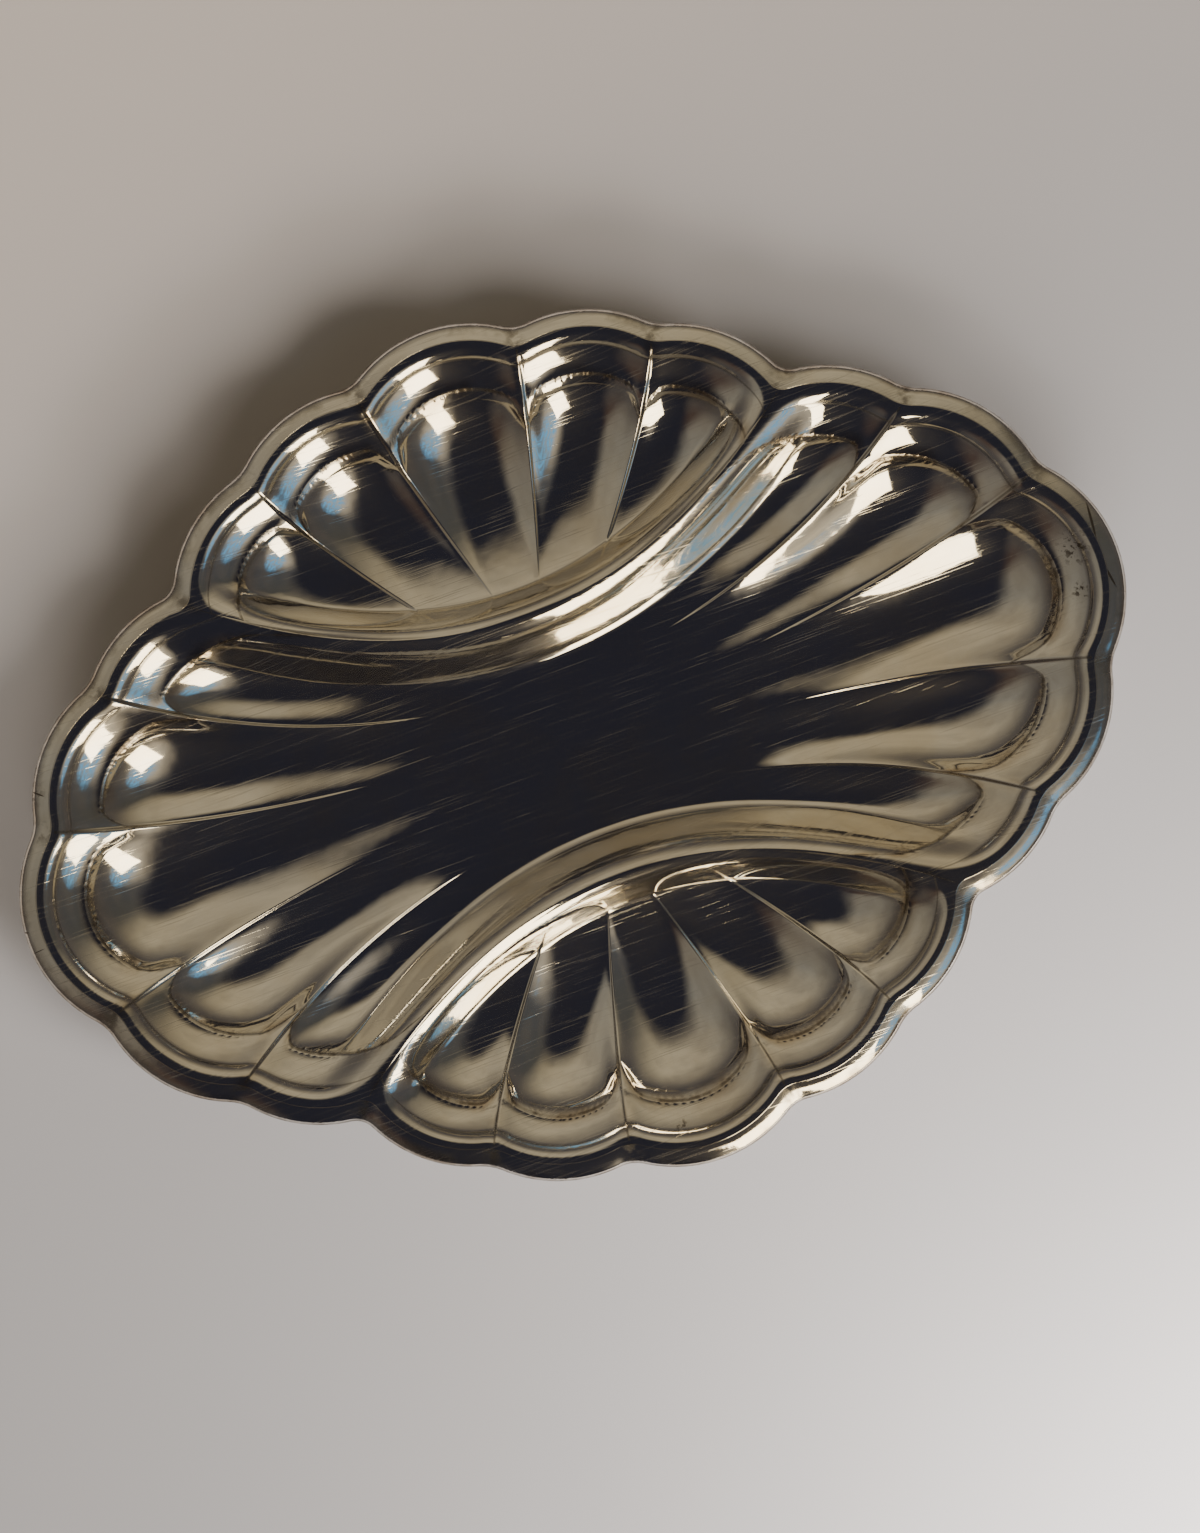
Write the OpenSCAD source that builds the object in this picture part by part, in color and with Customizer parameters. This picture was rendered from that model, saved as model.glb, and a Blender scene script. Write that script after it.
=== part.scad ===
// Divided serving platter: one fluted pressing in three compartments, with an applied rolled rim.
// Millimetres, Z up. The origin is the middle of the flat underside that rests on the table.
// X runs along the platter, Y across it. Both planes through the middle are planes of symmetry.

/* [Outline] */
// Length over the end lobes
platter_l = 319.4; // [270:0.1:370]
// Width over the middle lobes of the two sides
platter_w = 242.3; // [210:0.1:280]
// Half the width of an end lobe, between its notches
end_lobe_half = 29; // [24:0.5:33]
// Half the width of the middle lobe of a side, between its notches
side_lobe_half = 24; // [18:0.5:30]
// Second notch from the end, as shares of the end notch's X and of the side notch's Y
notch_2 = [0.813, 0.540]; // [0.3:0.001:1]
// Notch at the end of a divider, as the same shares
notch_3 = [0.608, 0.679]; // [0.3:0.001:1]
// First notch of a side compartment after the divider, as the same shares
notch_4 = [0.413, 0.894]; // [0.3:0.001:1]
// Radius of every lobe of the outline
lobe_r = 39.5; // [35:0.5:55]

/* [Pressing] */
// Height from the table to the top of the rim
platter_h = 20; // [17:0.5:30]
// Thickness of the pressed sheet
sheet_t = 0.9; // [0.6:0.1:1.4]
// Width of the flat ledge on top of the rim
ledge_w = 0.8; // [0.6:0.1:2]
// Plan width of the rounded bead inside the ledge
bead_run = 4; // [2.5:0.1:5.5]
// Plan width of the whole wall, from the ledge to the crease
wall_run = 11.7; // [9:0.1:15]
// Height of the crease at the foot of the wall, over the floor
crease_h = 12.4; // [8:0.1:14]
// Length of the curved end of a flute, inside the crease
scoop_run = 40; // [26:1:54]

/* [Flutes] */
// Length of the ridges in the middle compartment
end_ridge_run = 84; // [60:1:100]
// Length of the ridges in the side compartments
side_ridge_run = 58; // [40:1:70]
// How fast a ridge of the middle compartment falls away
end_ridge_fall = 2.9; // [2:0.1:4]
// How fast a ridge of the side compartments falls away
side_ridge_fall = 2.2; // [1.6:0.1:3]
// Roundness of the flutes, higher is flatter at the bottom
flute_shape = 2; // [1.6:0.1:3]
// Rounding of a ridge where it runs out, as a share of half a flute
ridge_round = 0.24; // [0.05:0.01:0.4]

/* [Dividers] */
// Distance from the middle of the platter to the crest of a divider
divider_y = 38.3; // [30:0.1:46]
// Height of a divider at its lowest point, from the table
divider_h = 14.8; // [10:0.1:18]
// Plan width of its slope to the middle compartment
divider_in = 14; // [9:0.5:18]
// Plan width of its slope to the side compartment
divider_out = 11.5; // [8:0.5:15]
// Height of the gentle foot of a divider in the side compartment
foot_h = 5; // [2:0.1:7]
// Plan width of that foot
foot_run = 38; // [24:1:46]

/* [Rim border] */
// Plan width of the roll
roll_w = 5.2; // [4.2:0.1:6.5]
// Height of the roll, from its top to its widest point
roll_h = 3; // [2.4:0.1:4]
// Thickness of the border's metal
border_t = 0.8; // [0.5:0.1:1]
// How far the roll turns under, past its widest point, in degrees
roll_under = 40; // [20:1:60]
// Width of the tongue that is soldered under the ledge
tongue_w = 0.7; // [0.4:0.1:0.9]
// Diameter of the stiffening wire in the roll
wire_d = 2; // [1.4:0.1:2.6]
// Film of solder between the pressing, the border and the wire
solder_gap = 0.1; // [0.05:0.01:0.15]

/* [Hidden] */
// How many points lie along a lobe, a flute line, its wall and its slope
lobe_steps = 8;
half_cols = 12;
bead_cols = 2;
wall_cols = 4;
side_rows = 12;
slope_rows = 4;
wire_sides = 6;
floor_spacing = 1.6;
// Plan of the flutes: how far they draw together towards the middle and towards the divider
flute_pull = 0.8;
fan_pull = 0.18;
fan_power = 4;
fan_bend = 1.2;
// Profile of the wall: fall of the bead, then slope of the shelf below it and how much that eases
bead_fall = 0.66;
bead_power = 2.5;
shelf_slope = 0.90;
shelf_ease = 0.375;
// Profile of the scoop: the share of it that falls quickly, and how quickly
quick_share = 0.45;
quick_power = 8.5;
// Flutes are flatter at the bottom near the rim, by so much and over so long
rim_flat = 2.2;
rim_reach = 35;
// Rounding where the slope of a divider meets its foot
foot_blend = 0.32;
// Limits of the shares that the wall and the slope take of a flute line, and of its lean
end_wall_most = 0.5;
side_wall_most = 0.45;
slope_most = 0.5;
lean_least = 0.3;
// Steps along a flute line over which its direction is taken
near_rim = 0.02;
near_crest = 0.9;
depth = platter_h - sheet_t;
rim_n = roll_w + ledge_w;
section = 5 * lobe_steps;
around = 4 * section;

// Notches of one quarter, mirrored round the platter from the front end of the right-hand section.
function bulge(half) = lobe_r - sqrt(max(0, lobe_r * lobe_r - half * half));
notch_1 = [platter_l / 2 - bulge(end_lobe_half), end_lobe_half];
notch_5 = [side_lobe_half, platter_w / 2 - bulge(side_lobe_half)];
function shared(s) = [s.x * notch_1.x, s.y * notch_5.y];
quarter = [notch_1, shared(notch_2), shared(notch_3), shared(notch_4), notch_5];
function mirrored(p, sx, sy) = [p.x * sx, p.y * sy];
loop = [
    for (i = [2:-1:0]) mirrored(quarter[i], 1, -1),
    for (i = [0:4]) quarter[i],
    for (i = [4:-1:0]) mirrored(quarter[i], -1, 1),
    for (i = [0:4]) mirrored(quarter[i], -1, -1),
    for (i = [4:-1:3]) mirrored(quarter[i], 1, -1)
];
lobes = len(loop);
function notch(i) = loop[(i + lobes) % lobes];

// Centre of a lobe's arc, inside the chord between its two notches.
function lobe_centre(i) =
    let (a = notch(i), b = notch(i + 1), c = (b - a) / norm(b - a))
    (a + b) / 2 + [-c.y, c.x] * sqrt(max(0, lobe_r * lobe_r - norm(b - a) * norm(b - a) / 4));
centres = [for (i = [0:lobes - 1]) lobe_centre(i)];
function centre(i) = centres[(i + lobes) % lobes];

// Notch of the line that runs n inside the outline, where the two inner arcs cross.
function inner_notch(i, n) =
    let (a = centre(i - 1), b = centre(i), mid = (a + b) / 2, out = notch(i) - mid)
    mid + out / norm(out) * sqrt(max(0, pow(lobe_r - n, 2) - pow(norm(b - a) / 2, 2)));

function angle_at(c, p) = atan2(p.y - c.y, p.x - c.x);

// Point r of the line n inside the outline. Whole lobes are lobe_steps long.
function ring(r, n) =
    let (i = floor(r / lobe_steps), s = r % lobe_steps)
    s == 0 ? inner_notch(i, n) :
    let (
        c = centre(i),
        a = angle_at(c, inner_notch(i, n)),
        b = angle_at(c, inner_notch(i + 1, n)),
        turn = (b - a + 360) % 360,
        w = a + turn * s / lobe_steps
    )
    c + (lobe_r - n) * [cos(w), sin(w)];

// Crest line of a divider, through the notches at its ends.
end_notch = inner_notch(5, rim_n);
crest_bow = (end_notch.y - divider_y) / (end_notch.x * end_notch.x);
function crest_y(x) = divider_y + crest_bow * x * x;

// Plan path of a flute line in the middle compartment, from the ledge (f = 0) to the middle (f = 1).
function end_path(p, f) =
    let (
        x = p.x * (1 - f),
        rim = p.y / crest_y(p.x),
        in = rim * (flute_pull + (1 - flute_pull) * rim * rim)
    )
    [x, (in + (rim - in) * (1 - f) * (1 - f)) * crest_y(x)];

// Where a flute line of a side compartment meets the divider, and its plan path to there.
function fan_x(p) = p.x * (fan_pull + (1 - fan_pull) * pow(p.x / end_notch.x, fan_power));
function side_path(p, f) =
    let (x = fan_x(p), y = crest_y(x) * sign(p.y))
    [p.x + (x - p.x) * pow(f, fan_bend), p.y + (y - p.y) * f];

// Heights over the floor along the bottom of a flute: a convex bead, a hollow shelf, then the scoop.
function wall_fall(d) =
    let (bead = min(1, d / bead_run), past = max(0, d - bead_run))
    bead_fall * bead_run * pow(bead, bead_power)
    + past * (shelf_slope - shelf_ease * past / (wall_run - bead_run));
function scoop(left) =
    crease_h * (quick_share * pow(left, quick_power) + (1 - quick_share) * left * left);
function trough(d) =
    d < wall_run ? depth - (depth - crease_h) * wall_fall(d) / wall_fall(wall_run) :
    scoop(max(0, 1 - (d - wall_run) / scoop_run));

// Height along a ridge, and between bottom and ridge at the share u across half a flute.
function ridge(d, run, fall) = depth * pow(max(0, 1 - d / run), fall);
function fluted(d, u, run, fall) =
    let (
        low = trough(d),
        soft = ridge_round * min(1, d / run),
        side = max(0, 1 - sqrt((1 - u) * (1 - u) + soft * soft)),
        p = flute_shape + rim_flat * exp(-pow(d / rim_reach, 2))
    )
    low + max(0, ridge(d, run, fall) - low) * pow(side, p);

// Height of a divider's slope and foot at a plan point, and two heights blended under the rim.
function divider(p, width, foot) =
    let (
        x = min(abs(p.x), end_notch.x),
        top = divider_h - sheet_t + (platter_h - divider_h) * pow(x / end_notch.x, 2),
        steep = 2 * crest_bow * p.x,
        e = abs(crest_y(p.x) - abs(p.y)) / sqrt(1 + steep * steep),
        slope = top * pow(max(0, 1 - pow(e / width, 2)), 2),
        toe = foot * pow(max(0, 1 - e / foot_run), 2)
    )
    (slope + toe + sqrt(pow(slope - toe, 2) + foot_blend * foot_blend) - foot_blend) / 2;
function blended(a, b) = depth - (depth - a) * (depth - b) / depth;

// How square a flute line leaves the rim: at a notch, the mean of its two lobes.
function square_to(c, p, dir) = max(lean_least, (c - p) * dir / norm(c - p));
function squareness(r, p, dir) =
    let (i = floor(r / lobe_steps), c = square_to(centre(i), p, dir))
    r % lobe_steps == 0 ? (c + square_to(centre(i - 1), p, dir)) / 2 : c;
function across(r) = abs(2 * (r % lobe_steps) / lobe_steps - 1);

// Share of a flute line's length at each of its points, closer together on the wall and the divider.
function wall_share(k) =
    let (bead = bead_run / wall_run)
    k < bead_cols ? bead * k / bead_cols :
    bead + (1 - bead) * (k - bead_cols) / (wall_cols - bead_cols);
function end_share(k, len, sq) =
    let (w = min(end_wall_most, wall_run / sq / len))
    k < wall_cols ? w * wall_share(k) :
    w + (1 - w) * pow((k - wall_cols) / (half_cols - wall_cols), floor_spacing);
function side_share(k, len, sq, slope) =
    let (
        w = min(side_wall_most, wall_run / sq / len),
        e = 1 - min(slope_most, slope / len),
        flat = side_rows - slope_rows
    )
    k < wall_cols ? w * wall_share(k) :
    k < flat ? w + (e - w) * pow((k - wall_cols) / (flat - wall_cols), floor_spacing) :
    e + (1 - e) * (k - flat) / slope_rows;

// Length of a flute line on the slope of a divider, longer where they meet aslant.
function slope_len(p) =
    let (a = side_path(p, 1), dir = a - side_path(p, near_crest), steep = 2 * crest_bow * a.x)
    divider_out * norm(dir) * sqrt(1 + steep * steep)
    / max(lean_least, abs(dir.y * sign(p.y) - dir.x * steep));

// Points of one flute line on the upper surface, from the ledge inwards.
function end_line(r) =
    let (
        p = ring(r, rim_n),
        len = norm(p - end_path(p, 1)),
        near = end_path(p, near_rim) - p,
        sq = squareness(r, p, near / norm(near))
    )
    [for (k = [0:half_cols])
        let (
            f = end_share(k, len, sq),
            q = end_path(p, f),
            flute = fluted(f * len * sq, across(r), end_ridge_run, end_ridge_fall)
        )
        [q.x, q.y, sheet_t + (k == 0 ? depth : blended(flute, divider(q, divider_in, 0)))]];
function side_line(r) =
    let (
        p = ring(r, rim_n),
        len = norm(p - side_path(p, 1)),
        near = side_path(p, near_rim) - p,
        sq = squareness(r, p, near / norm(near))
    )
    [for (k = [0:side_rows])
        let (
            f = side_share(k, len, sq, slope_len(p)),
            q = side_path(p, f),
            flute = fluted(f * len * sq, across(r), side_ridge_run, side_ridge_fall)
        )
        [q.x, q.y, sheet_t + (k == 0 ? depth : blended(flute, divider(q, divider_out, foot_h)))]];

// Upper surface: the middle compartment from end to end, then the back and front compartments.
right_half = [for (r = [0:section]) end_line(r)];
middle = [for (g = right_half) [
    for (k = [0:half_cols]) g[k],
    for (k = [half_cols - 1:-1:0]) [-g[k].x, g[k].y, g[k].z]
]];
cols = 2 * half_cols;
back = [for (r = [section + 1:2 * section - 1]) side_line(r)];
front = [for (g = back) [for (p = g) [p.x, -p.y, p.z]]];
edge = [for (r = [0:around - 1]) let (p = ring(r, roll_w)) [p.x, p.y, platter_h]];

function unit(v) = v / norm(v);
function upward(v) = v.z < 0 ? -v : v;
function normal_of(a, b) = unit(upward(cross(a, b)));
// Normals: level on the ledge, square to the crest on the dividers, from the neighbours elsewhere.
function middle_normal(j, k) =
    k == 0 || k == cols ? [0, 0, 1] :
    j == 0 || j == section ?
        let (t = unit(middle[j][k + 1] - middle[j][k - 1])) unit([0, 0, 1] - t * t.z) :
    normal_of(middle[j + 1][k] - middle[j - 1][k], middle[j][k + 1] - middle[j][k - 1]);
function side_at(g, j, k) =
    j < 0 ? [end_notch.x, end_notch.y * sign(g[0][0].y), platter_h] :
    j >= len(g) ? [-end_notch.x, end_notch.y * sign(g[0][0].y), platter_h] : g[j][k];
function side_normal(g, j, k) =
    k == 0 ? [0, 0, 1] :
    normal_of(side_at(g, j + 1, k) - side_at(g, j - 1, k), g[j][k + 1] - g[j][k - 1]);

top_points = [
    for (j = [0:section]) each middle[j],
    for (g = [back, front]) for (line = g) for (k = [0:side_rows - 1]) line[k],
    each edge
];
top_normals = [
    for (j = [0:section]) for (k = [0:cols]) middle_normal(j, k),
    for (g = [back, front]) for (j = [0:len(g) - 1]) for (k = [0:side_rows - 1]) side_normal(g, j, k),
    for (p = edge) [0, 0, 1]
];
count = len(top_points);

// Place of a point in the list, by compartment. The ends of a side compartment are the divider's ends.
function mid_id(j, k) = j * (cols + 1) + k;
side_start = (section + 1) * (cols + 1);
function side_id(s, j, k) =
    j == 0 ? mid_id(s == 0 ? section : 0, 0) :
    j == section ? mid_id(s == 0 ? section : 0, cols) :
    side_start + s * (section - 1) * side_rows + (j - 1) * side_rows + k;
edge_start = side_start + 2 * (section - 1) * side_rows;
function edge_id(r) = edge_start + r % around;
function ledge_id(r) =
    r < section ? mid_id(r, 0) :
    r < 2 * section ? side_id(0, r - section, 0) :
    r < 3 * section ? mid_id(3 * section - r, cols) :
    r < around ? side_id(1, around - r, 0) : mid_id(0, 0);

// Strip of triangles between a divider's crest and the nearest row of the side compartment.
function crest_x(k) = middle[section][k].x;
function row_x(j) =
    j == 0 ? end_notch.x : j == section ? -end_notch.x : back[j - 1][side_rows].x;
crest_mid = [for (k = [0:cols - 1]) (crest_x(k) + crest_x(k + 1)) / 2];
row_mid = [for (j = [0:section - 1]) (row_x(j) + row_x(j + 1)) / 2];
function passed(list, x) = len([for (v = list) if (v > x) 1]);
function passed_or_at(list, x) = len([for (v = list) if (v >= x) 1]);
function crest_id(s, k) = mid_id(s == 0 ? section : 0, k);
function row_id(s, j) = side_id(s, j, side_rows - 1);
function strip(s) = [
    for (k = [0:cols - 1])
        [crest_id(s, k), crest_id(s, k + 1), row_id(s, passed(row_mid, crest_mid[k]))],
    for (j = [0:section - 1])
        [row_id(s, j + 1), row_id(s, j), crest_id(s, passed_or_at(crest_mid, row_mid[j]))]
];
function turned(f) = [f[2], f[1], f[0]];
function proper(list) = [for (f = list) if (f[0] != f[1] && f[1] != f[2] && f[0] != f[2]) f];
function quad(a, b, c, d) = [[a, b, c], [a, c, d]];

top_faces = proper([
    for (j = [0:section - 1]) for (k = [0:cols - 1])
        each quad(mid_id(j, k), mid_id(j, k + 1), mid_id(j + 1, k + 1), mid_id(j + 1, k)),
    for (j = [0:section - 1]) for (k = [0:side_rows - 2])
        each quad(side_id(0, j, k), side_id(0, j, k + 1), side_id(0, j + 1, k + 1), side_id(0, j + 1, k)),
    for (j = [0:section - 1]) for (k = [0:side_rows - 2])
        each quad(side_id(1, j + 1, k), side_id(1, j + 1, k + 1), side_id(1, j, k + 1), side_id(1, j, k)),
    each strip(0),
    for (f = strip(1)) turned(f),
    for (r = [0:around - 1])
        each quad(edge_id(r), ledge_id(r), ledge_id(r + 1), edge_id(r + 1))
]);

module dish_pressing() {
    color([0.80, 0.78, 0.72])
    polyhedron(
        points = [
            each top_points,
            for (i = [0:count - 1]) top_points[i] - sheet_t * top_normals[i]
        ],
        faces = [
            each top_faces,
            for (f = top_faces) turned(f) + [count, count, count],
            for (r = [0:around - 1])
                each quad(edge_id(r), edge_id(r + 1), edge_id(r + 1) + count, edge_id(r) + count)
        ]
    );
}

// A closed profile carried round the platter: each point is its distance inside the outline and its height.
module carried_round(profile) {
    q = len(profile);
    polyhedron(
        points = [for (r = [0:around - 1]) for (s = profile) let (p = ring(r, s.x)) [p.x, p.y, s.y]],
        faces = [
            for (r = [0:around - 1]) for (i = [0:q - 1])
                let (a = r * q, b = (r + 1) % around * q, j = (i + 1) % q)
                each quad(a + i, b + i, b + j, a + j)
        ]
    );
}

// The roll is part of an oval. Its middle lies at the inner edge of the roll, at its widest height.
roll_z = platter_h - roll_h;
roll_end = 90 + roll_under;
outer_turns = [30, 60, 90, roll_end];
inner_turns = [roll_end, 90 + roll_under / 2, 90, 60, 30];
function roll_point(inset, w) = [roll_w - (roll_w - inset) * sin(w), roll_z + (roll_h - inset) * cos(w)];

module rim_border() {
    under = platter_h - sheet_t - solder_gap;
    color([0.74, 0.70, 0.63])
    carried_round([
        [roll_w - solder_gap, under],
        [roll_w - solder_gap, platter_h],
        for (w = outer_turns) roll_point(0, w),
        for (w = inner_turns) roll_point(border_t, w),
        [roll_w, under - border_t],
        [roll_w + tongue_w, under - border_t],
        [roll_w + tongue_w, under]
    ]);
}

// The wire lies as far out in the hollow of the roll as it fits.
wire_r = wire_d / 2;
hollow_w = roll_w - border_t;
hollow_h = roll_h - border_t;
wire_room = wire_r + solder_gap;
wire_out =
    wire_room * hollow_w <= hollow_h * hollow_h ? hollow_w - wire_room :
    sqrt(max(0, (hollow_w * hollow_w - hollow_h * hollow_h) * (1 - pow(wire_room / hollow_h, 2))));

module rim_core_wire() {
    color([0.62, 0.58, 0.50])
    carried_round([
        for (i = [0:wire_sides - 1])
            [roll_w - wire_out, roll_z] + wire_r * [cos(360 * i / wire_sides), sin(360 * i / wire_sides)]
    ]);
}

dish_pressing();
rim_border();
rim_core_wire();
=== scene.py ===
import bpy
import math
import numpy as np
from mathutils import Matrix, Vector


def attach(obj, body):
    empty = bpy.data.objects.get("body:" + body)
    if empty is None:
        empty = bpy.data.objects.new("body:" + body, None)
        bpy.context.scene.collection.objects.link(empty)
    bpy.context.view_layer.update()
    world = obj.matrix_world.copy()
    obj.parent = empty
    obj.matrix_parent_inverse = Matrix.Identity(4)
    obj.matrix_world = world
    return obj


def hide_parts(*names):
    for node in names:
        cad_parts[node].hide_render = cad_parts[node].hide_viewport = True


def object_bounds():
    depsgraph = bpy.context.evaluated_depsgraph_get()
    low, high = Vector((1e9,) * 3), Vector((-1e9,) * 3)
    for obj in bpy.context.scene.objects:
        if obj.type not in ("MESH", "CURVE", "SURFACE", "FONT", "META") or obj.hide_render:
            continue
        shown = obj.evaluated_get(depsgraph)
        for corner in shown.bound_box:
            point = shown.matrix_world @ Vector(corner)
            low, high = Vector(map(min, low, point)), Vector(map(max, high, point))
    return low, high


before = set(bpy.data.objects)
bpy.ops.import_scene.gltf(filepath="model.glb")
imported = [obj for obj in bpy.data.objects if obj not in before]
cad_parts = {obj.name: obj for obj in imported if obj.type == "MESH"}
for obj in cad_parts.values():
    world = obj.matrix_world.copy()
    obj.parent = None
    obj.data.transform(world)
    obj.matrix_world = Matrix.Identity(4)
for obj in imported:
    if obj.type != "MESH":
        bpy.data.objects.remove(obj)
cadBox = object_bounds()
mm = 0.001
print("solids loaded:", sorted(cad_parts))


# A socket that takes part in sums: each sign adds a Math node to its tree.
class Val:
    def __init__(self, tree, socket):
        self.tree = tree
        self.socket = socket

    def math(self, operation, a, b=0.0):
        return self.tree.make("ShaderNodeMath", {"operation": operation}, {0: a, 1: b})

    def __add__(self, other):
        return self.math("ADD", self, other)

    def __radd__(self, other):
        return self.math("ADD", other, self)

    def __sub__(self, other):
        return self.math("SUBTRACT", self, other)

    def __rsub__(self, other):
        return self.math("SUBTRACT", other, self)

    def __mul__(self, other):
        return self.math("MULTIPLY", self, other)

    def __rmul__(self, other):
        return self.math("MULTIPLY", other, self)

    def __truediv__(self, other):
        return self.math("DIVIDE", self, other)

    def __rtruediv__(self, other):
        return self.math("DIVIDE", other, self)

    def __pow__(self, other):
        return self.math("POWER", self, other)

    def __lt__(self, other):
        return self.math("LESS_THAN", self, other)

    def __gt__(self, other):
        return self.math("GREATER_THAN", self, other)

    def __abs__(self):
        return self.math("ABSOLUTE", self)

    def atLeast(self, other):
        return self.math("MAXIMUM", self, other)

    def atMost(self, other):
        return self.math("MINIMUM", self, other)

    def root(self):
        return self.math("SQRT", self)

    def between(self, low, high):  # 0 below low, 1 above high, smooth between
        return self.tree.make("ShaderNodeMapRange", {"interpolation_type": "SMOOTHSTEP"},
                              {"Value": self, "From Min": low, "From Max": high})


class NodeSheet:
    def __init__(self, tree):
        self.tree = tree

    # Adds a node of any kind, with its settings and its sockets, and gives one of its outputs.
    def make(self, kind, settings=None, sockets=None, out=0):
        node = self.tree.nodes.new(kind)
        for name, value in (settings or {}).items():
            if name == "stops":
                self.setStops(node.color_ramp, value)
            else:
                setattr(node, name, value)
        for name, value in (sockets or {}).items():
            if isinstance(value, Val):
                self.tree.links.new(value.socket, node.inputs[name])
            else:
                node.inputs[name].default_value = value
        return Val(self, node.outputs[out]) if node.outputs else node

    def setStops(self, ramp, stops):
        while len(ramp.elements) < len(stops):
            ramp.elements.new(0.5)
        for element, (place, colour) in zip(ramp.elements, stops):
            element.position = place
            element.color = (*colour, 1)

    def mixColour(self, factor, a, b):
        return self.make("ShaderNodeMix", {"data_type": "RGBA"}, {0: factor, 6: a, 7: b}, 2)


cameraSet = {
    "height": 0.62,  # over the scale plane
    "scalePlane": 15.4 * mm,  # a little under the rim
    "pixel": 0.276 * mm,  # what one pixel covers in that plane
    "pictureTall": 1533,  # pixels
    "turn": -20.05,  # degrees
    "offset": (27, -21.5),  # pixels to the right and up from the platter's middle
    "sensor": 36,
}


def addCamera(s):
    turn = math.radians(s["turn"])
    right = Vector((math.cos(turn), math.sin(turn), 0))
    up = Vector((-math.sin(turn), math.cos(turn), 0))
    camera = bpy.data.objects.new("topCamera", bpy.data.cameras.new("topCamera"))
    bpy.context.scene.collection.objects.link(camera)
    place = right * s["offset"][0] * s["pixel"] + up * s["offset"][1] * s["pixel"]
    camera.location = (place.x, place.y, s["scalePlane"] + s["height"])
    camera.rotation_euler = (0, 0, turn)
    camera.data.sensor_width = s["sensor"]
    camera.data.lens = s["sensor"] / 2 * s["height"] / (s["pictureTall"] / 2 * s["pixel"])
    bpy.context.scene.camera = camera
    print("camera lens", round(camera.data.lens, 2))
    return right, up


imageRight, imageUp = addCamera(cameraSet)

# Lobes, dividers and walls have the same values as in the solids, and the overall size comes from their box.
length, width, height = (b - a for a, b in zip(*cadBox))
outline = {
    "endLobeHalf": 29 * mm, "sideLobeHalf": 24 * mm,  # half the width of a lobe, between its notches
    "lobeRadius": 39.5 * mm,
    "notchShares": [(0.813, 0.540), (0.608, 0.679), (0.413, 0.894)],  # of the end's x and the side's y
    "notchRound": 4.2 * mm,  # how far from a notch its rounding begins
    "lobeSteps": 32, "evenShare": 0.25,  # the rest of the steps draw together at the notches
}
pressing = {
    "sheet": 0.9 * mm, "ledge": 0.8 * mm, "crown": 0.03 * mm,
    "beadRun": 4 * mm, "beadFall": 0.66, "beadPower": 2.5,  # the rounded bead inside the ledge
    "wallRun": 11.7 * mm, "shelfSlope": 0.90, "shelfEase": 0.375,  # the hollow shelf under it
    "creaseHeight": 12.4 * mm, "scoopRun": 40 * mm,
    "quickShare": 0.45, "quickPower": 8.5,  # the scoop falls quickly at first
    "webRun": 6 * mm, "webFrom": 0.70, "webSlope": 0.6,  # where the crease turns inward along a ridge
    "fluteShape": 2.0, "rimFlat": 2.2, "rimReach": 35 * mm,  # flutes are flatter near the rim
    "endRidgeRun": 84 * mm, "sideRidgeRun": 58 * mm, "endRidgeFall": 2.9, "sideRidgeFall": 2.2,
    "rimRound": 0.18, "ridgeRound": 0.5, "ridgeLow": 0.24, "lowShare": 0.25,  # how round the ridges are
    "tail": 1.0 * mm, "tailStart": 12 * mm, "tailFull": 45 * mm,  # the last shallow run of the long ridges,
    "tailFrom": 26 * mm, "tailTo": 66 * mm,  # which ends this far from the middle
    "dividerY": 38.3 * mm, "dividerHeight": 14.8 * mm, "dividerIn": 14 * mm, "dividerOut": 11.5 * mm,
    "footHeight": 5 * mm, "footRun": 38 * mm, "footBlend": 0.32 * mm,
    "flutePull": 0.8, "fanPull": 0.18, "fanPower": 4, "fanBend": 1.2,  # how flute lines draw together
    "endWallMost": 0.5, "sideWallMost": 0.45, "slopeMost": 0.5,  # shares of a flute line
    "firstStep": 0.02, "lastStep": 0.9, "leanLeast": 0.3,  # for the direction of its two ends
    "beadCols": 10, "wallCols": 10, "floorCols": 40, "floorPower": 1.6,  # points along a flute line
    "sideFloorCols": 22, "slopeCols": 18, "ledgeCols": 4,
}
border = {
    "roll": 5.2 * mm, "rollHeight": 3 * mm, "metal": 0.8 * mm, "tongue": 0.7 * mm, "gap": 0.1 * mm,
    "under": 40,  # degrees that the roll curls in underneath
    "lean": 0.15 * mm, "leanRun": 0.8 * mm,  # the roll leans at once from its crest
    "rollSteps": 32, "rollPower": 1.3, "hollowFrom": 6, "sharp": 32,
}
depth = height - pressing["sheet"]
rimIn = border["roll"] + pressing["ledge"]  # from the outline to the inner edge of the ledge
lobeR = outline["lobeRadius"]
steps = outline["lobeSteps"]


def lobeBulge(half):
    return lobeR - math.sqrt(lobeR ** 2 - half ** 2)


def notchLoop():
    end, side = outline["endLobeHalf"], outline["sideLobeHalf"]
    long, wide = length / 2 - lobeBulge(end), width / 2 - lobeBulge(side)
    shares = [np.array((a * long, b * wide)) for a, b in outline["notchShares"]]
    quarter = [np.array((long, end)), *shares, np.array((side, wide))]

    def flipped(order, sx, sy):
        return [quarter[i] * (sx, sy) for i in order]

    return (flipped((2, 1, 0), 1, -1) + quarter + flipped((4, 3, 2, 1, 0), -1, 1)
            + flipped(range(5), -1, -1) + flipped((4, 3), 1, -1))


notches = notchLoop()
lobes = len(notches)


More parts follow.
